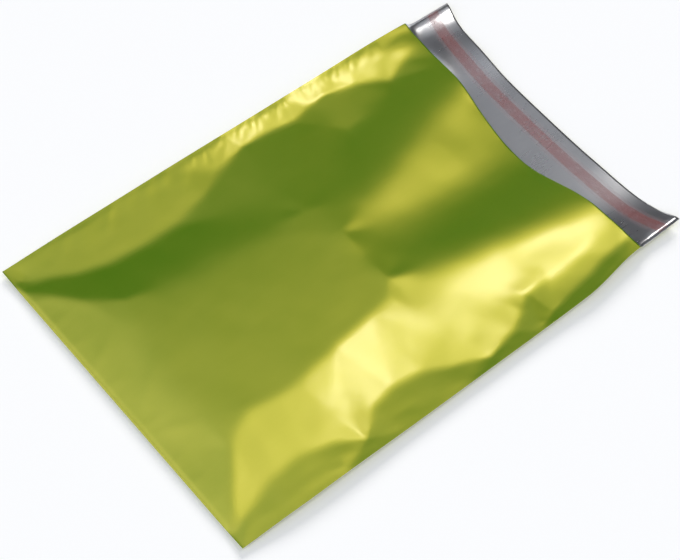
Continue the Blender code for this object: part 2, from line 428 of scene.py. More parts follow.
@dataclass(frozen=True)
class SeamCrinkle:
    """Ribs that run inwards from a weld, where its shrinkage has gathered the film.

    Attributes:
        side: The weld that they start at.
        start: First share along.
        end: Last share along.
        pitch: Mean distance between ribs, in millimetres.
        reach: How far they run inwards, in millimetres.
        height: Height of a rib, in millimetres.
        slant: Shift along Y for each metre inwards.
        seed: Seed of their places.
        root: Share of the reach over which they rise from the weld.
        reaches: Least and most reach of a rib, as shares of the mean.
        widths: The same for its width, as shares of the pitch.
        heights: The same for its height.
        gaps: The same for the distance to the next rib, as shares of the pitch.
        skews: The same for what is added to its slant.
        spread: Growth of its width at the full reach.
    """

    side: Side
    start: float
    end: float
    pitch: float
    reach: float
    height: float
    slant: float
    seed: int
    root: float = 0.32
    reaches: Pair = (0.55, 1.25)
    widths: Pair = (0.20, 0.34)
    heights: Pair = (0.45, 1.15)
    gaps: Pair = (0.65, 1.4)
    skews: Pair = (-0.25, 0.25)
    spread: float = 0.5

    def lift(self, plan: BagPlan, across: Array, along: Array) -> Array:
        """Sum of Gaussian ribs at uneven places, each fading inwards from the weld.

        Args:
            plan: Outline of the bag.
            across: Shares across.
            along: Shares along.

        Returns:
            Heights in metres.
        """
        draw = np.random.default_rng(self.seed)
        x, y = plan.place(across, along)
        inward = plan.inward(across, along)
        on_side = (across * self.side.value > 0.0).astype(float)
        pitch, full_reach = self.pitch * MM, self.reach * MM
        first = plan.closed_end + self.start * plan.panel_length
        last = plan.closed_end + self.end * plan.panel_length
        total = np.zeros_like(x)
        place = first
        while place < last:
            reach = full_reach * draw.uniform(*self.reaches)
            width = pitch * draw.uniform(*self.widths)
            crest = self.height * MM * draw.uniform(*self.heights)
            skew = self.slant + draw.uniform(*self.skews)
            wide = width * (1.0 + self.spread * inward / full_reach)
            aside = (y - place - skew * inward) / wide
            fade = np.exp(-((inward / reach) ** 4)) * smooth_step(inward / (self.root * reach))
            total += crest * np.exp(-0.5 * aside ** 2) * fade
            place += pitch * draw.uniform(*self.gaps)
        ends = smooth_step((y - first) / pitch) * smooth_step((last - y) / pitch)
        return total * on_side * ends


@dataclass
class FoldNet:
    """The front panel's folds: a net of flat facets between fold points, then softened.

    Fold points are percent across, percent along and percent of the puff height. Near the
    tips of folds the creases stay sharp, and away from them they are softened.

    Attributes:
        blurs: Spreads of the three blurs.
        tip_zone: Distances from a tip over which softening sets in.
        crease_zone: The same for the widest blur, from crisp creases and the welds too.
        rim_reach: Distance from a weld over which the film comes down to it.
        wave_zone: Distance from an edge over which the waves rise.
        waves: Height and size in millimetres and seed of each set of slow waves.
        grid: Heights at the samples of the grid.
    """

    plan: BagPlan
    back: BackFilm
    puff_height: float = 14.8 * MM
    weld_depth: float = 0.40 * MM
    fold_reach: float = 3.2 * MM
    columns: int = 481
    rows: int = 641
    mouth_edge: Points = (
        (-91, 100, 48), (-84, 100, 37), (-72, 100, 31), (-62, 100, 43), (-50, 100, 66),
        (-38, 100, 61), (-26, 100, 47), (-12, 100, 30), (1, 100, 18), (12, 100, 18),
        (21, 100, 22), (36, 100, 48), (49, 100, 70), (60, 100, 78), (69, 100, 73),
        (82, 100, 57), (91, 100, 47),
    )
    left_foot: Points = (
        (-90, 1, 17), (-82, 6, 18), (-75, 11, 19), (-70, 17, 20), (-68, 25, 22), (-68, 33, 25),
        (-74, 41, 33), (-82, 48, 34), (-88, 54, 32), (-87, 60, 31), (-84, 66, 33), (-88, 71, 29),
        (-89, 75, 29), (-84, 82, 28), (-79, 86, 25), (-74, 89, 22), (-80, 94, 28),
    )
    left_shoulder: Points = (
        (-31, 54, 92), (-33, 42, 93), (-37, 30, 92), (-41, 20, 89), (-44, 14, 83), (-58, 8, 60),
        (-75, 3, 38),
    )
    left_facets: Points = (
        (-90, 42, 43), (-54, 41, 54), (-61, 74, 32), (-67, 87, 29), (-90, 91, 46),
    )
    left_ridge: Points = ((-6, 57, 99), (-18, 68, 92), (-31, 81, 81), (-42, 90, 71))
    valley_left: Points = ((4, 69, 60), (6, 82, 34), (7, 93, 21))
    valley_right: Points = ((20, 69, 65), (19, 82, 39), (17, 93, 25))
    right_ridge: Points = ((30, 57, 99), (39, 68, 98), (46, 81, 93), (52, 90, 90))
    right_slope: Points = (
        (60, 91, 84), (61, 84, 77), (67, 91, 71), (67, 84, 60), (66, 77, 56), (77, 90, 42),
        (77, 82, 32), (78, 76, 28), (61, 65, 65), (65, 58, 62), (73, 30, 62),
    )
    right_foot: Points = (
        (91, 94, 37), (92, 88, 31), (93, 82, 26), (95, 77, 25), (91, 68, 25), (95, 61, 25),
        (87, 54, 28), (79, 48, 30), (77, 42, 31), (80, 36, 36), (92, 31, 33), (83, 26, 44),
        (79, 20, 48), (80, 12, 43), (86, 6, 32), (91, 1, 18),
    )
    right_shoulder: Points = (
        (39, 54, 96), (41, 49, 95), (44, 39, 94), (47, 31, 94), (52, 28, 89), (48, 23, 91),
        (45, 17, 90), (49, 13, 83), (55, 10, 74), (69, 6, 56), (83, 2, 34),
    )
    end_shoulder: Points = ((-24, 11, 86), (2, 9, 85), (28, 9, 83))
    pillow_top: Points = ((3, 20, 93), (3, 36, 95), (12, 53, 97))
    closed_end: Points = (
        (-90, 0, 16), (-84, 0, 22), (-70, 0, 26), (-36, 0, 27), (-2, 0, 27), (32, 0, 27),
        (67, 0, 26), (86, 0, 23), (91, 0, 17),
    )
    tips: Sequence[tuple[int, int]] = (
        (-6, 57), (30, 57), (52, 28), (-44, 14), (-74, 41), (95, 61), (92, 31), (-31, 54),
        (-88, 54), (-61, 74), (-74, 89), (95, 77), (81, 76), (-84, 66), (-89, 75), (-84, 82),
        (-90, 0), (91, 0),
    )
    crinkles: Sequence[SeamCrinkle] = (
        SeamCrinkle(Side.LEFT, 0.42, 0.92, 4.0, 8.5, 0.25, -0.45, 11, 0.45),
        SeamCrinkle(Side.LEFT, 0.34, 0.60, 9.0, 15.0, 0.15, -0.80, 15),
        SeamCrinkle(Side.LEFT, 0.03, 0.40, 11.0, 14.0, 0.18, -0.60, 12),
        SeamCrinkle(Side.RIGHT, 0.50, 0.97, 6.0, 7.0, 0.14, 0.2, 13, 0.9),
        SeamCrinkle(Side.RIGHT, 0.04, 0.52, 12.0, 12.0, 0.16, -0.2, 14, 0.9),
    )
    ripples: Sequence[Ripple] = (
        Ripple(-84, -171, 70, 5, 1.6, 0.16), Ripple(-66, -170, 98, 6, 1.9, 0.20),
        Ripple(-47, -171, 84, 5, 1.5, 0.16), Ripple(-31, -166, 118, 9, 2.6, 0.26),
        Ripple(-12, -171, 92, 5, 1.6, 0.18), Ripple(4, -158, 128, 11, 3.0, 0.30),
        Ripple(21, -170, 76, 6, 1.8, 0.20), Ripple(34, -160, 60, 10, 2.8, 0.24),
        Ripple(49, -171, 100, 5, 1.6, 0.18), Ripple(66, -171, 82, 5, 1.7, 0.16),
        Ripple(82, -172, 95, 4, 1.4, 0.14),
    )
    blurs: Triple = (0.8 * MM, 1.9 * MM, 8.0 * MM)
    tip_zone: Pair = (1.5 * MM, 12.0 * MM)
    crease_zone: Pair = (3.0 * MM, 22.0 * MM)
    rim_reach: float = 6.0 * MM
    wave_zone: float = 12.0 * MM
    waves: Sequence[tuple[float, float, int]] = ((0.15, 13.0, 5), (0.055, 6.0, 7), (0.010, 2.6, 6))
    grid: Array = field(init=False)

    def __post_init__(self) -> None:
        """Work out the softened heights once."""
        self.grid = self.softened(self.facets())

    def shares(self) -> tuple[Array, Array]:
        """Shares across and along of every sample of the net's grid."""
        across = np.linspace(-1.0, 1.0, self.columns)
        along = np.linspace(0.0, 1.0, self.rows)
        return np.meshgrid(across, along)

    def points(self) -> Array:
        """Every fold point as across, along and height, with those on the welds."""
        groups = (
            self.mouth_edge, self.left_foot, self.left_shoulder, self.left_facets,
            self.left_ridge, self.valley_left, self.valley_right, self.right_ridge,
            self.right_slope, self.right_foot, self.right_shoulder, self.end_shoulder,
            self.pillow_top, self.closed_end,
        )
        inner = np.array([point for group in groups for point in group], float) * PERCENT
        inner[:, 2] *= self.puff_height
        rim = [(-1.0, along * PERCENT) for along, _ in self.plan.left_lift if along <= 100]
        rim += [(1.0, along * PERCENT) for along, _ in self.plan.right_lift if along <= 100]
        across, along = np.array(rim).T
        lift = self.plan.back_height(across, along) + self.weld_depth
        return np.vstack([inner, np.column_stack([across, along, lift])])

    def facets(self) -> Array:
        """Height of the flat facets at every sample of the grid.

        The points are joined by a Delaunay net in plan. Inside a triangle the height is the
        mean of its corners, weighted by the sample's barycentric shares, and a sample takes
        the triangle in which its least share is greatest.

        Returns:
            Grid of heights, rows along the bag by columns across it.
        """
        points = self.points()
        spots = np.column_stack(self.plan.place(points[:, 0], points[:, 1]))
        links = [(index, index + 1) for index in range(len(self.mouth_edge) - 1)]
        net = delaunay_2d_cdt([Vector(spot) for spot in spots.tolist()], links, [], 0, MERGE)
        corners = np.array([(place[0], place[1]) for place in net[0]])
        heights = np.array([points[source[0]][2] for source in net[3]])
        x, y = self.plan.place(*self.shares())
        result = np.zeros_like(x)
        least = np.full_like(x, -np.inf)
        for triangle in net[2]:
            a, b, c = corners[list(triangle)]
            low = np.minimum(np.minimum(a, b), c) - 2.0 * MM
            high = np.maximum(np.maximum(a, b), c) + 2.0 * MM
            window = np.nonzero((x > low[0]) & (x < high[0]) & (y > low[1]) & (y < high[1]))
            right, up = x[window] - c[0], y[window] - c[1]
            area = (b[1] - c[1]) * (a[0] - c[0]) + (c[0] - b[0]) * (a[1] - c[1])
            share_a = ((b[1] - c[1]) * right + (c[0] - b[0]) * up) / area
            share_b = ((c[1] - a[1]) * right + (a[0] - c[0]) * up) / area
            share_c = 1.0 - share_a - share_b
            margin = np.minimum(np.minimum(share_a, share_b), share_c)
            trio = heights[list(triangle)]
            level = share_a * trio[0] + share_b * trio[1] + share_c * trio[2]
            better = margin > least[window]
            result[window] = np.where(better, level, result[window])
            least[window] = np.where(better, margin, least[window])
        return result

    def softened(self, facets: Array) -> Array:
        """Soften the creases, then add crinkles, ripples and slow waves.

        Three blurs are mixed by the distances to the nearest tip and the nearest crisp crease.
        At the welds and the closed end the height comes down to the film's edge.

        Args:
            facets: Grid of the flat facets' heights.

        Returns:
            Grid of heights.
        """
        across, along = self.shares()
        x, y = self.plan.place(across, along)
        pitch = self.plan.width / (self.columns - 1)
        away = np.full_like(x, 1.0)
        for tip_x, tip_y in self.plan.spots(self.tips):
            away = np.minimum(away, np.hypot(x - tip_x, y - tip_y))
        near = rise(away, self.tip_zone)
        for line in (self.left_foot, self.right_foot, self.right_shoulder, self.left_shoulder[4:]):
            away = np.minimum(away, line_distance(x, y, self.plan.spots(line)))
        inward = self.plan.inward(across, along)
        far = rise(np.minimum(away, inward), self.crease_zone)
        sharp, soft, softest = (blurred(facets, blur / pitch) for blur in self.blurs)
        level = sharp + (soft + (softest - soft) * far - sharp) * near
        floor = self.back.height(across, along)
        gap = level - floor
        over = np.where(across < 0.0, gap[:, :1], gap[:, -1:]) - self.weld_depth
        level = level - over * np.exp(-inward / self.rim_reach)
        for crinkle in self.crinkles:
            level = level + crinkle.lift(self.plan, across, along)
        for ripple in self.ripples:
            level = level + ripple.lift(x, y)
        waves = np.zeros_like(x)
        for height, size, seed in self.waves:
            waves = waves + height * MM * smooth_noise(x.shape, size * MM / pitch, seed)
        from_end = y - self.plan.closed_end
        level = level + waves * smooth_step(np.minimum(inward, from_end) / self.wave_zone)
        level = np.maximum(level, floor + self.weld_depth)
        drop = np.maximum(level - floor - self.weld_depth, 0.0)
        return level - drop * round_over(from_end, self.fold_reach)

    def height(self, across: Array, along: Array) -> Array:
        """Read the grid of heights between its samples, by shares of the four around.

        Args:
            across: Shares across.
            along: Shares along, up to 1.

        Returns:
            Heights in metres.
        """
        column = (across + 1.0) / 2.0 * (self.columns - 1)
        row = along * (self.rows - 1)
        left = np.clip(np.floor(column).astype(int), 0, self.columns - 2)
        low = np.clip(np.floor(row).astype(int), 0, self.rows - 2)
        aside, up = column - left, row - low
        grid = self.grid
        bottom = grid[low, left] * (1.0 - aside) + grid[low, left + 1] * aside
        top = grid[low + 1, left] * (1.0 - aside) + grid[low + 1, left + 1] * aside
        return bottom * (1.0 - up) + top * up


def grid_quads(numbers: Array, turned: bool = False) -> list[Face]:
    """Quads between neighbours of a grid of vertex numbers.

    Args:
        numbers: Vertex numbers, rows by columns.
        turned: Whether the quads wind the other way.

    Returns:
        One tuple of four numbers for each quad.
    """
    around = [numbers[:-1, :-1], numbers[:-1, 1:], numbers[1:, 1:], numbers[1:, :-1]]
    quads = np.stack(around[::-1] if turned else around, axis=-1).reshape(-1, 4)
    return [tuple(quad) for quad in quads.tolist()]


def vertices(x: Array, y: Array, height: Array) -> Array:
    """Vertices of a grid, one row each."""
    return np.column_stack([x.ravel(), y.ravel(), height.ravel()])


def new_object(name: str, points: Array, faces: list[Face], shares: Array) -> bpy.types.Object:
    """Make a smooth mesh object with a UV map of the film's shares.

    Args:
        name: Name of the object and its mesh.
        points: Vertices, one row each.
        faces: Vertex numbers of each face.
        shares: UV of each vertex.

    Returns:
        The object, linked to the scene.
    """
    mesh = bpy.data.meshes.new(name)
    mesh.from_pydata(points.tolist(), [], faces)
    corners = np.empty(len(mesh.loops), np.int32)
    mesh.loops.foreach_get("vertex_index", corners)
    layer = mesh.uv_layers.new(name="film")
    layer.data.foreach_set("uv", shares[corners].astype(np.float32).ravel())
    mesh.validate()
    mesh.shade_smooth()
    item = bpy.data.objects.new(name, mesh)
    bpy.context.scene.collection.objects.link(item)
    return item


def add_wall(item: bpy.types.Object, thickness: float, offset: float) -> bpy.types.Modifier:
    """Give an open surface its wall with a Solidify modifier."""
    wall = item.modifiers.new("Wall", "SOLIDIFY")
    wall.thickness = thickness
    wall.offset = offset
    wall.use_even_offset = True
    wall.use_quality_normals = True
    return wall


@dataclass
class Film:
    """The folded film as one open surface with a thin wall.

    Attributes:
        plan: Outline of the bag.
        back: Heights of the back film.
        net: Heights of the front panel.
        edge_zone: Width of the strips beside the welds that have closer columns.
        fold_rows: Distances from the closed end of its close rows, in millimetres.
        back_step: Columns of the front for each column of the back.
    """

    plan: BagPlan
    back: BackFilm
    net: FoldNet
    thickness: float = 0.12 * MM
    edge_zone: float = 16.0 * MM
    edge_columns: int = 15
    middle_columns: int = 81
    rows: int = 314
    fold_rows: Sequence[float] = (0.0, 0.15, 0.4, 0.75, 1.2, 1.8, 2.5, 3.2)
    lip_rows: int = 26
    back_step: int = 3

    def column_shares(self) -> Array:
        """Shares across of the front panel's columns, closer together beside the welds."""
        zone = self.edge_zone / (self.plan.width / 2.0)
        left = np.linspace(-1.0, zone - 1.0, self.edge_columns, endpoint=False)
        middle = np.linspace(zone - 1.0, 1.0 - zone, self.middle_columns, endpoint=False)
        right = np.linspace(1.0 - zone, 1.0, self.edge_columns + 1)
        return np.concatenate([left, middle, right])

    def row_shares(self) -> Array:
        """Shares along of the rows, with a few close ones where the fold rounds over."""
        close = np.array(self.fold_rows) * MM / self.plan.panel_length
        even = np.linspace(close[-1], 1.0, self.rows + 1)[1:]
        return np.concatenate([close, even])

    def build(self) -> bpy.types.Object:
        """Build front panel, back panel and lip as grids that share their edges.

        The front is the net's height over the plan, and the back and the lip are the back
        film's. A narrow band joins front and back along each weld and along the fold.

        Returns:
            The film's object, with its wall.
        """
        columns, rows = self.column_shares(), self.row_shares()
        back_columns = columns[:: self.back_step]
        lip_rows = 1.0 + np.linspace(0.0, 1.0, self.lip_rows + 1)[1:]
        front_across, front_along = np.meshgrid(columns, rows)
        back_across, back_along = np.meshgrid(back_columns, np.concatenate([rows, lip_rows]))
        front = self.surface(self.net, front_across, front_along)
        back = self.surface(self.back, back_across, back_along)
        front_numbers = np.arange(front_across.size).reshape(front_across.shape)
        back_numbers = front_across.size + np.arange(back_across.size).reshape(back_across.shape)
        panel = len(rows)
        faces = grid_quads(front_numbers) + grid_quads(back_numbers, turned=True)
        left = np.stack([front_numbers[:, 0], back_numbers[:panel, 0]], axis=1)
        right = np.stack([front_numbers[:, -1], back_numbers[:panel, -1]], axis=1)
        faces += grid_quads(left) + grid_quads(right, turned=True)
        faces += self.fold_faces(front_numbers[0], back_numbers[0])
        points = np.vstack([front, back])
        across = np.concatenate([front_across.ravel(), back_across.ravel()])
        along = np.concatenate([front_along.ravel(), back_along.ravel()])
        shares = np.column_stack([(across + 1.0) / 2.0, along / 2.0])
        item = new_object("film", points, faces, shares)
        self.orient(item)
        wall = add_wall(item, self.thickness, -1.0)
        wall.material_offset = 1
        wall.material_offset_rim = 1
        return item

    def surface(self, side: Union[FoldNet, BackFilm], across: Array, along: Array) -> Array:
        """Vertices of a grid of shares, at the heights of the front or the back."""
        return vertices(*self.plan.place(across, along), side.height(across, along))

    def fold_faces(self, front: Array, back: Array) -> list[Face]:
        """Faces of the fold: each spans one back column and the front columns over it."""
        faces = []
        for index in range(len(back) - 1):
            over = front[index * self.back_step: (index + 1) * self.back_step + 1]
            faces.append((int(back[index]), int(back[index + 1]), *[int(v) for v in over[::-1]]))
        return faces

    @staticmethod
    def orient(item: bpy.types.Object) -> None:
        """Point every face outwards before the wall is added."""
        mesh = bmesh.new()
        mesh.from_mesh(item.data)
        bmesh.ops.recalc_face_normals(mesh, faces=mesh.faces[:])
        mesh.faces.ensure_lookup_table()
        if mesh.faces[0].normal.z < 0.0:
            bmesh.ops.reverse_faces(mesh, faces=mesh.faces[:])
        mesh.to_mesh(item.data)
        mesh.free()
        item.data.shade_smooth()
        item.data.set_sharp_from_angle(angle=SHARP_ANGLE)


@dataclass
class Strip:
    """A strip that lies on the lip and follows its outer edge.

    Attributes:
        name: Name of the object.
        plan: Outline of the bag.
        back: Heights of the lip.
        inset: Distance from the lip's edge to the strip.
        width: Width of the strip.
        lift: Height of its underside over the outside of the lip.
        thickness: Thickness of the strip.
        margin: Distance from its ends to the sides of the lip.
        puckers: Place along X and height of each small cross wrinkle, in millimetres.
        edge_lift: How far its long edges stand up.
        pucker_width: Width of a wrinkle.
        pucker_sway: How far a wrinkle wanders aside.
    """

    name: str
    plan: BagPlan
    back: BackFilm
    inset: float
    width: float
    lift: float
    thickness: float
    margin: float
    puckers: Sequence[Pair] = ()
    edge_lift: float = 0.0
    pucker_width: float = 0.7 * MM
    pucker_sway: float = 0.6 * MM
    columns: int = 420
    rows: int = 14

    def build(self) -> bpy.types.Object:
        """Build the strip as a grid over the lip, with its wall.

        Its height is that of the lip, plus cross wrinkles, plus edges that stand a little
        proud where nothing holds them down.

        Returns:
            The strip's object.
        """
        share, down = np.meshgrid(
            np.linspace(-1.0, 1.0, self.columns), np.linspace(0.0, 1.0, self.rows),
        )
        reach = 1.0 - self.margin / self.plan.half_width(np.sign(share), np.full_like(share, 2.0))
        across = share * reach
        depth = self.plan.lip_place(across) - self.plan.mouth_place(across)
        along = 2.0 - (self.inset + self.width * down) / depth
        x, y = self.plan.place(across, along)
        height = self.back.height(across, along) + self.lift
        height = height + self.edge_lift * np.abs(2.0 * down - 1.0) ** 3
        for place, crest in np.array(self.puckers) * MM:
            bend = self.pucker_sway * np.sin(3.0 * down + place)
            height = height + crest * np.exp(-(((x - place - bend) / self.pucker_width) ** 2))
        numbers = np.arange(share.size).reshape(share.shape)
        shares = np.column_stack([(share.ravel() + 1.0) / 2.0, down.ravel()])
        faces = grid_quads(numbers, turned=True)
        item = new_object(self.name, vertices(x, y, height), faces, shares)
        add_wall(item, self.thickness, 1.0)
        return item


def operator(operation: str, reflected: bool = False) -> Callable:
    """Make the method that adds a Math node for one of Python's operators.

    Args:
        operation: The node's operation.
        reflected: Whether the other term comes first.

    Returns:
        A method of Value.
    """

    def method(value: "Value", other: "Term" = 0.0) -> "Value":
        """Add the node on the value and the other term."""
        first, second = (other, value) if reflected else (value, other)
        return value.graph.math(operation, first, second)

    return method


class Value:
    """A socket of a shader graph that takes part in sums as a number does."""

    __add__ = operator("ADD")
    __radd__ = operator("ADD", reflected=True)
    __sub__ = operator("SUBTRACT")
    __rsub__ = operator("SUBTRACT", reflected=True)
    __mul__ = operator("MULTIPLY")
    __rmul__ = operator("MULTIPLY", reflected=True)
    __pow__ = operator("POWER")
    __rpow__ = operator("POWER", reflected=True)
    __abs__ = operator("ABSOLUTE")

    def __init__(self, graph: "Graph", socket: bpy.types.NodeSocket) -> None:
        """Keep the socket and the graph that it belongs to."""
        self.graph = graph
        self.socket = socket


Term = Union[Value, Number]


class Graph:
    """The node graph of a material or a world."""

    def __init__(self, owner: Union[bpy.types.Material, bpy.types.World]) -> None:
        """Start an empty graph on its owner."""
        owner.use_nodes = True
        self.tree = owner.node_tree
        self.tree.nodes.clear()

    def node(
        self, kind: str, settings: Mapping = {}, inputs: Mapping = {}, out: Union[int, str] = 0,
    ) -> Value:
        """Add a node.

        Args:
            kind: The node's type.
            settings: Its own settings, set first. The key stops holds a colour ramp's stops.
            inputs: Values or links of its sockets, by name or number.
            out: Name or number of the output to return.

        Returns:
            The output as a value.
        """
        made = self.tree.nodes.new(kind)
        for name, setting in settings.items():
            if name == "stops":
                self.set_stops(made.color_ramp, setting)
            else:
                setattr(made, name, setting)
        for name, value in inputs.items():
            if isinstance(value, Value):
                self.tree.links.new(value.socket, made.inputs[name])
            else:
                made.inputs[name].default_value = value
        return Value(self, made.outputs[out]) if len(made.outputs) else Value(self, None)

    @staticmethod
    def set_stops(ramp: bpy.types.ColorRamp, stops: Sequence[tuple[float, tuple]]) -> None:
        """Give a colour ramp its stops, as places and colours."""
        while len(ramp.elements) < len(stops):
            ramp.elements.new(0.5)
        for element, (place, colour) in zip(ramp.elements, stops):
            element.position = place
            element.color = (*colour, 1.0)

    def math(self, operation: str, first: Term, second: Term = 0.0) -> Value:
        """Add a Math node on one or two terms."""
        return self.node("ShaderNodeMath", {"operation": operation}, {0: first, 1: second})

    def ramp(self, value: Term, low: float, high: float) -> Value:
        """Rise smoothly from 0 to 1 as the value goes from low to high."""
        inputs = {"Value": value, "From Min": low, "From Max": high}
        return self.node("ShaderNodeMapRange", {"interpolation_type": "SMOOTHSTEP"}, inputs)

    def mix(self, factor: Term, first: Triple, second: Triple) -> Value:
        """Mix two colours."""
        inputs = {0: factor, 6: (*first, 1.0), 7: (*second, 1.0)}
        return self.node("ShaderNodeMix", {"data_type": "RGBA"}, inputs, out=2)

    def place(self, stretch: Triple = (1.0, 1.0, 1.0)) -> Value:
        """Object coordinates in metres, stretched along each axis."""
        spot = self.node("ShaderNodeTexCoord", out="Object")
        return self.node("ShaderNodeMapping", {}, {"Vector": spot, "Scale": stretch})

    def share_down(self) -> Value:
        """The share down a strip, which is the second share of its UV map."""
        spot = self.node("ShaderNodeUVMap", {"uv_map": "film"})
        return self.node("ShaderNodeSeparateXYZ", {}, {0: spot}, out=1)

    def noise(self, vector: Value, scale: float, detail: float = 2.0, rough: float = 0.5) -> Value:
        """Noise from 0 to 1."""
        inputs = {"Vector": vector, "Scale": scale, "Detail": detail, "Roughness": rough}
        return self.node("ShaderNodeTexNoise", {}, inputs)

    def bump(self, height: Value, distance: float, strength: float, **below: Value) -> Value:
        """Bump from a height, over another bump if one is given as Normal."""
        inputs = {"Height": height, "Distance": distance, "Strength": strength, **below}
        return self.node("ShaderNodeBump", {}, inputs)

    def principled(self, inputs: Mapping) -> Value:
        """Add a Principled shader."""
        return self.node("ShaderNodeBsdfPrincipled", {}, inputs)



@dataclass(frozen=True)
class Finish:
    """A material, whose shader each kind of finish draws in its own way.

    Attributes:
        name: Name of the material.
        roughness: Roughness of the surface.
    """

    name: str
    roughness: float

    def build(self) -> bpy.types.Material:
        """Make the material and link its shader to the output."""
        material = bpy.data.materials.new(self.name)
        graph = Graph(material)
        shader = self.shader(graph, graph.place())
        graph.node("ShaderNodeOutputMaterial", {}, {"Surface": shader})
        return material

    def shader(self, graph: Graph, spot: Value) -> Value:
        """Draw the shader.

        Args:
            graph: Graph of the material.
            spot: Object coordinates.

        Returns:
            The shader.
        """
        raise NotImplementedError


@dataclass(frozen=True)
class MetallisedFilm(Finish):
    """Satin metallised film: a tinted mirror layer over a little coloured lacquer.

    Attributes:
        mirror: Colour of the metal layer.
        deep: The same colour where the film is a little darker.
        lacquer: Colour of the lacquer's own scattering.
        lacquer_share: Share of light that the lacquer scatters.
        gloss: Weight of the clear layer over it.
        gloss_roughness: Roughness of the clear layer.
        lacquer_roughness: Roughness of the lacquer.
    """

    mirror: Triple
    deep: Triple
    lacquer: Triple
    lacquer_share: float
    gloss: float
    gloss_roughness: float = 0.21
    lacquer_roughness: float = 0.55

    def shader(self, graph: Graph, spot: Value) -> Value:
        """Mottle the colour and roughness a little and emboss a fine grain."""
        cloud = graph.noise(spot, 28.0, 3.0)
        streak = graph.noise(graph.place((1.0, 0.08, 1.0)), 420.0)
        grain = graph.noise(spot, 2600.0, rough=0.6)
        pebble = graph.noise(spot, 520.0)
        tone = graph.ramp(cloud * 0.8 + streak * 0.2, 0.3, 0.7)
        rough = self.roughness + (cloud - 0.5) * 0.05 + (streak - 0.5) * 0.03
        normal = graph.bump(grain, 0.004 * MM, 0.5)
        normal = graph.bump(pebble, 0.02 * MM, 0.35, Normal=normal)
        metal = graph.principled({
            "Base Color": graph.mix(tone, self.deep, self.mirror), "Metallic": 1.0,
            "Roughness": rough, "Normal": normal,
            "Coat Weight": self.gloss, "Coat Roughness": self.gloss_roughness,
        })
        scatter = graph.principled({
            "Base Color": (*self.lacquer, 1.0), "Metallic": 0.0,
            "Roughness": self.lacquer_roughness, "Specular IOR Level": 0.0, "Normal": normal,
        })
        return graph.node("ShaderNodeMixShader", {}, {0: self.lacquer_share, 1: metal, 2: scatter})


@dataclass(frozen=True)
class LinerFilm(Finish):
    """Translucent rose release liner, redder where the adhesive wets it.

    Attributes:
        free: Colour where the liner only lies on the lip.
        bonded: Colour where the adhesive holds it.
        haze: Alpha of the free liner.
        bonded_haze: What the adhesive adds to it.
    """

    free: Triple
    bonded: Triple
    haze: float = 0.035
    bonded_haze: float = 0.08

    def shader(self, graph: Graph, spot: Value) -> Value:
        """Blotch the bonded band, leave bubbles in it and clear the free edges."""
        blotch = graph.noise(graph.place((1.0, 2.2, 1.0)), 170.0, 3.0, 0.6)
        fine = graph.noise(spot, 900.0)
        middle = abs(graph.share_down() - 0.5) + (blotch - 0.5) * 0.16
        bonded = 1.0 - graph.ramp(middle, 0.27, 0.34)
        cells = graph.node(
            "ShaderNodeTexVoronoi", {"feature": "F1"}, {"Vector": spot, "Scale": 240.0}, "Distance",
        )
        bubble = 1.0 - graph.ramp(cells + (fine - 0.5) * 0.2, 0.10, 0.24)
        bonded = bonded * (1.0 - bubble * 0.6) * graph.ramp(blotch, 0.15, 0.50)
        alpha = self.haze + bonded * self.bonded_haze
        alpha = alpha + (blotch - 0.5) * 0.05 + (fine - 0.5) * 0.04
        return graph.principled({
            "Base Color": graph.mix(bonded, self.free, self.bonded), "Alpha": alpha,
            "Roughness": self.roughness, "Normal": graph.bump(blotch, 0.10 * MM, 0.5),
            "Specular IOR Level": 0.5,
        })


@dataclass(frozen=True)
class AdhesiveBand(Finish):
    """Clear adhesive, a little cloudy, with a wavy surface."""

    colour: Triple

    def shader(self, graph: Graph, spot: Value) -> Value:
        """Cloud the adhesive with noise in its clearness."""
        cloud = graph.noise(spot, 260.0, 3.0)
        return graph.principled({
            "Base Color": (*self.colour, 1.0), "Roughness": self.roughness,
            "Alpha": 0.02 + cloud * 0.05, "Normal": graph.bump(cloud, 0.05 * MM, 0.6),
        })


@dataclass(frozen=True)
class PaleFloor(Finish):
    """Plain pale floor that shows white where no shadow falls on it.

    Attributes:
        colour: Colour of the floor.
        glow: Light added for the camera and for reflections only.
    """

    colour: Triple
    glow: float

    def shader(self, graph: Graph, spot: Value) -> Value:
        """Diffuse floor plus a glow that no object is lit by."""
        seen = 0.0
        for ray in ("Is Camera Ray", "Is Glossy Ray", "Is Transmission Ray"):
            seen = graph.math("MAXIMUM", graph.node("ShaderNodeLightPath", out=ray), seen)
        return graph.principled({
            "Base Color": (*self.colour, 1.0), "Roughness": self.roughness,
            "Specular IOR Level": 0.0,
            "Emission Color": (1.0, 1.0, 1.0, 1.0), "Emission Strength": seen * self.glow,
        })


@dataclass(frozen=True)
class Lamp:
    """A soft distant lamp.

    Attributes:
        name: Name of the lamp.
        direction: Direction from the bag to the lamp.
        power: Strength of its light.
        angle: Angle that it spans, in degrees.
        mirrored: Whether reflections show it.
        colour: Colour of its light.
    """

    name: str
    direction: Triple
    power: float
    angle: float
    mirrored: bool = True
    colour: Triple = (1.0, 0.97, 0.92)

    def build(self) -> None:
        """Add the lamp to the scene."""
        light = bpy.data.lights.new(self.name, "SUN")
        light.energy = self.power
        light.angle = math.radians(self.angle)
        light.color = self.colour
        item = bpy.data.objects.new(self.name, light)
        item.rotation_mode = "QUATERNION"
        item.rotation_quaternion = Vector(self.direction).to_track_quat("Z", "Y")
        item.visible_glossy = self.mirrored
        bpy.context.scene.collection.objects.link(item)


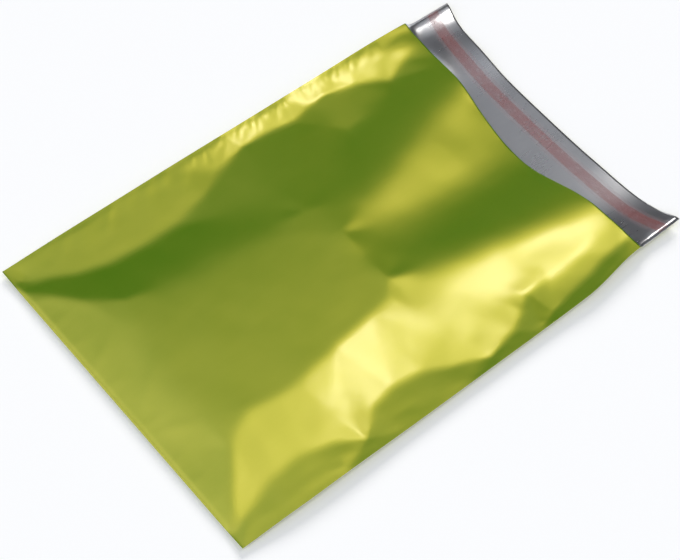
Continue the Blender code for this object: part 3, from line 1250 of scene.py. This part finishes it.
@dataclass(frozen=True)
class Studio:
    """Floor, light and camera.

    Attributes:
        floor: Finish of the floor.
        floor_reach: Half the floor's width.
        floor_drop: How far the floor lies under the bag, so that the two don't share a plane.
        lamps: A key light from above and a low fill light.
        sky_colour: Colour of the light from all round.
        sky_centre: Direction that most of that light comes from.
        sky_top: Strength of that light from its centre.
        sky_low: Strength of that light from square to its centre and beyond.
        sky_power: Power of the cosine by which it falls off from its centre.
        camera_place: Place of the camera.
        camera_target: Point that the camera looks at.
        camera_roll: Turn of the camera about its view, in degrees.
        lens: Focal length in millimetres on a sensor 36 mm wide.
    """

    floor: PaleFloor = PaleFloor("floor", 0.9, colour=(0.9, 0.9, 0.91), glow=0.16)
    floor_reach: float = 12.0
    floor_drop: float = 0.05 * MM
    lamps: Sequence[Lamp] = (
        Lamp("key", (0.07, 0.45, 0.90), power=0.50, angle=11.0),
        Lamp("fill", (-0.66, 0.60, 0.42), power=2.3, angle=22.0, mirrored=False),
    )
    sky_colour: Triple = (0.88, 0.93, 1.0)
    sky_centre: Triple = (0.12, -0.67, 0.73)
    sky_top: float = 1.24
    sky_low: float = 0.01
    sky_power: float = 1.75
    camera_place: Triple = (458.8 * MM, -485.6 * MM, 1021.4 * MM)
    camera_target: Triple = (11.62 * MM, -18.31 * MM, 0.0)
    camera_roll: float = 7.21
    lens: float = 105.88

    def build(self) -> None:
        """Build the floor, the lights, the world and the camera."""
        self.add_floor()
        for lamp in self.lamps:
            lamp.build()
        self.add_sky()
        self.add_camera()
        bpy.context.scene.view_settings.view_transform = "Standard"

    def add_floor(self) -> None:
        """Lay a plain square under the bag."""
        corners = np.array([(-1, -1), (1, -1), (1, 1), (-1, 1)]) * self.floor_reach
        points = np.column_stack([corners, np.full(4, -self.floor_drop)])
        floor = new_object("floor", points, [(0, 1, 2, 3)], corners)
        floor.data.materials.append(self.floor.build())

    def add_sky(self) -> None:
        """Light from all round: low, plus a power of the cosine from the sky's centre."""
        world = bpy.data.worlds.new("sky")
        graph = Graph(world)
        inputs = {0: graph.node("ShaderNodeTexCoord", out="Generated"), 1: self.sky_centre}
        cosine = graph.node("ShaderNodeVectorMath", {"operation": "DOT_PRODUCT"}, inputs, "Value")
        lobe = graph.math("MAXIMUM", cosine, 0.0) ** self.sky_power
        strength = self.sky_low + lobe * (self.sky_top - self.sky_low)
        inputs = {"Color": (*self.sky_colour, 1.0), "Strength": strength}
        sky = graph.node("ShaderNodeBackground", {}, inputs)
        graph.node("ShaderNodeOutputWorld", {}, {"Surface": sky})
        bpy.context.scene.world = world

    def add_camera(self) -> None:
        """Aim the camera at its target, then turn it about its view."""
        data = bpy.data.cameras.new("camera")
        data.sensor_width = 36.0
        data.lens = self.lens
        data.clip_start = 0.05
        data.clip_end = 50.0
        camera = bpy.data.objects.new("camera", data)
        place = Vector(self.camera_place)
        view = (Vector(self.camera_target) - place).normalized()
        aim = view.to_track_quat("-Z", "Y").to_matrix().to_4x4()
        roll = Matrix.Rotation(math.radians(self.camera_roll), 4, "Z")
        camera.matrix_world = Matrix.Translation(place) @ aim @ roll
        bpy.context.scene.collection.objects.link(camera)
        bpy.context.scene.camera = camera


@dataclass(frozen=True)
class GiftBag:
    """The whole bag: its film, adhesive and liner, with their finishes."""

    plan: BagPlan
    green: MetallisedFilm = MetallisedFilm(
        name="green_film", mirror=(0.71, 0.58, 0.075), deep=(0.67, 0.555, 0.065),
        lacquer=(0.08, 0.58, 0.01), lacquer_share=0.19, roughness=0.43, gloss=0.85,
    )
    silver: MetallisedFilm = MetallisedFilm(
        name="silver_film", mirror=(0.93, 0.93, 0.95), deep=(0.86, 0.86, 0.89),
        lacquer=(0.42, 0.42, 0.46), lacquer_share=0.12, roughness=0.28, gloss=0.0,
    )
    liner: LinerFilm = LinerFilm(
        name="liner", free=(0.72, 0.44, 0.45), bonded=(0.60, 0.14, 0.13), roughness=0.26,
    )
    adhesive: AdhesiveBand = AdhesiveBand(name="adhesive", colour=(0.45, 0.25, 0.25), roughness=0.3)

    def build(self) -> None:
        """Build each piece, dress it and let it ride on the bag's only body."""
        back = BackFilm(self.plan)
        net = FoldNet(self.plan, back)
        film = Film(self.plan, back, net)
        piece = film.build()
        piece.data.materials.append(self.green.build())
        piece.data.materials.append(self.silver.build())
        self.settle(piece, "bag_film", "green_film")
        adhesive = Strip(
            "adhesive", self.plan, back, inset=9.25 * MM, width=8.0 * MM,
            lift=film.thickness + 0.03 * MM, thickness=0.10 * MM, margin=2.0 * MM,
        ).build()
        adhesive.data.materials.append(self.adhesive.build())
        self.settle(adhesive, "adhesive_strip", "adhesive")
        liner = Strip(
            "liner", self.plan, back, inset=7.0 * MM, width=12.5 * MM,
            lift=film.thickness + 0.16 * MM, thickness=0.06 * MM, margin=1.0 * MM,
            puckers=((-53, 0.5), (-48, 0.3), (-36, 0.3), (8, 0.4), (14, 0.3), (57, 0.35)),
            edge_lift=0.15 * MM,
        ).build()
        liner.data.materials.append(self.liner.build())
        self.settle(liner, "release_liner", "pink_liner")

    @staticmethod
    def settle(piece: bpy.types.Object, node: str, slot: str) -> None:
        """Let a piece stand for its solid, which is hidden, and ride with it."""
        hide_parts(node)
        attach(piece, "root")
        LOG.info("%s stands for %s with %d faces", piece.name, node, len(piece.data.polygons))


def main() -> None:
    """Build the bag in its studio."""
    logging.basicConfig(level=logging.INFO, format="%(name)s: %(message)s")
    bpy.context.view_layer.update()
    plan = BagPlan.from_frame()
    GiftBag(plan).build()
    Studio().build()


if __name__ == "__main__":
    main()
